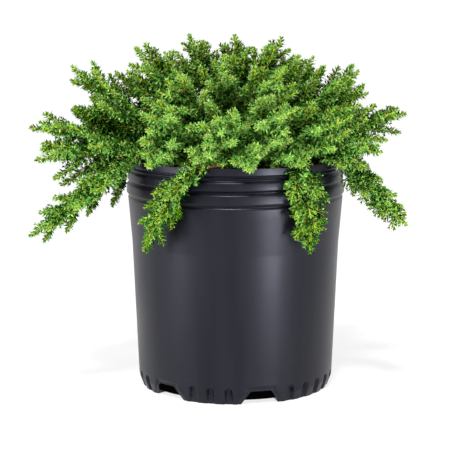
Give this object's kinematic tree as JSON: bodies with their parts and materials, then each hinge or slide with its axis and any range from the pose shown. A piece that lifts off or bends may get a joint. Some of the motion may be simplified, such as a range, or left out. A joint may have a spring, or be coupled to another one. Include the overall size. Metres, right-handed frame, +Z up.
{
  "type": "japanese garden juniper in a nursery pot",
  "caption": "Low, spreading juniper whose needle-covered sprays fan up and trail over the rim of a round ribbed nursery pot that stands on its flat base.",
  "frame": {"origin": "centre of the pot's flat underside", "axes": "+Z up along the pot's axis, the pictured side faces -Y, +X to its right"},
  "size_m": [0.3721, 0.3105, 0.3491],
  "materials": {
    "pot_plastic": "satin",
    "potting_mix": "matte",
    "bark": "matte",
    "needles": "matte"
  },
  "bodies": {
    "root": {"pot": "pot_plastic", "potting_mix": "potting_mix", "trunk": "bark", "bough_middle_1": "bark", "bough_middle_2": "bark", "bough_middle_3": "bark", "bough_middle_4": "bark", "bough_middle_5": "bark", "bough_skirt_1": "bark", "bough_skirt_2": "bark", "bough_skirt_3": "bark", "bough_skirt_4": "bark", "bough_skirt_5": "bark", "bough_skirt_6": "bark", "bough_skirt_7": "bark", "bough_skirt_8": "bark", "bough_skirt_9": "bark", "bough_skirt_10": "bark", "bough_trailer_1": "bark", "bough_trailer_2": "bark", "bough_trailer_3": "bark", "bough_hanger_1": "bark", "bough_hanger_2": "bark", "foliage_crown_1": "needles", "foliage_crown_2": "needles", "foliage_crown_3": "needles", "foliage_crown_4": "needles", "foliage_inner_1": "needles", "foliage_inner_2": "needles", "foliage_inner_3": "needles", "foliage_inner_4": "needles", "foliage_inner_5": "needles", "foliage_inner_6": "needles", "foliage_inner_7": "needles", "foliage_inner_8": "needles", "foliage_inner_9": "needles", "foliage_inner_10": "needles", "foliage_inner_11": "needles", "foliage_inner_12": "needles", "foliage_inner_13": "needles", "foliage_middle_1": "needles", "foliage_middle_2": "needles", "foliage_middle_3": "needles", "foliage_middle_4": "needles", "foliage_middle_5": "needles", "foliage_skirt_1": "needles", "foliage_skirt_2": "needles", "foliage_skirt_3": "needles", "foliage_skirt_4": "needles", "foliage_skirt_5": "needles", "foliage_skirt_6": "needles", "foliage_skirt_7": "needles", "foliage_skirt_8": "needles", "foliage_skirt_9": "needles", "foliage_skirt_10": "needles", "foliage_trailer_1": "needles", "foliage_trailer_2": "needles", "foliage_trailer_3": "needles", "foliage_hanger_1": "needles", "foliage_hanger_2": "needles"}
  },
  "joints": []
}
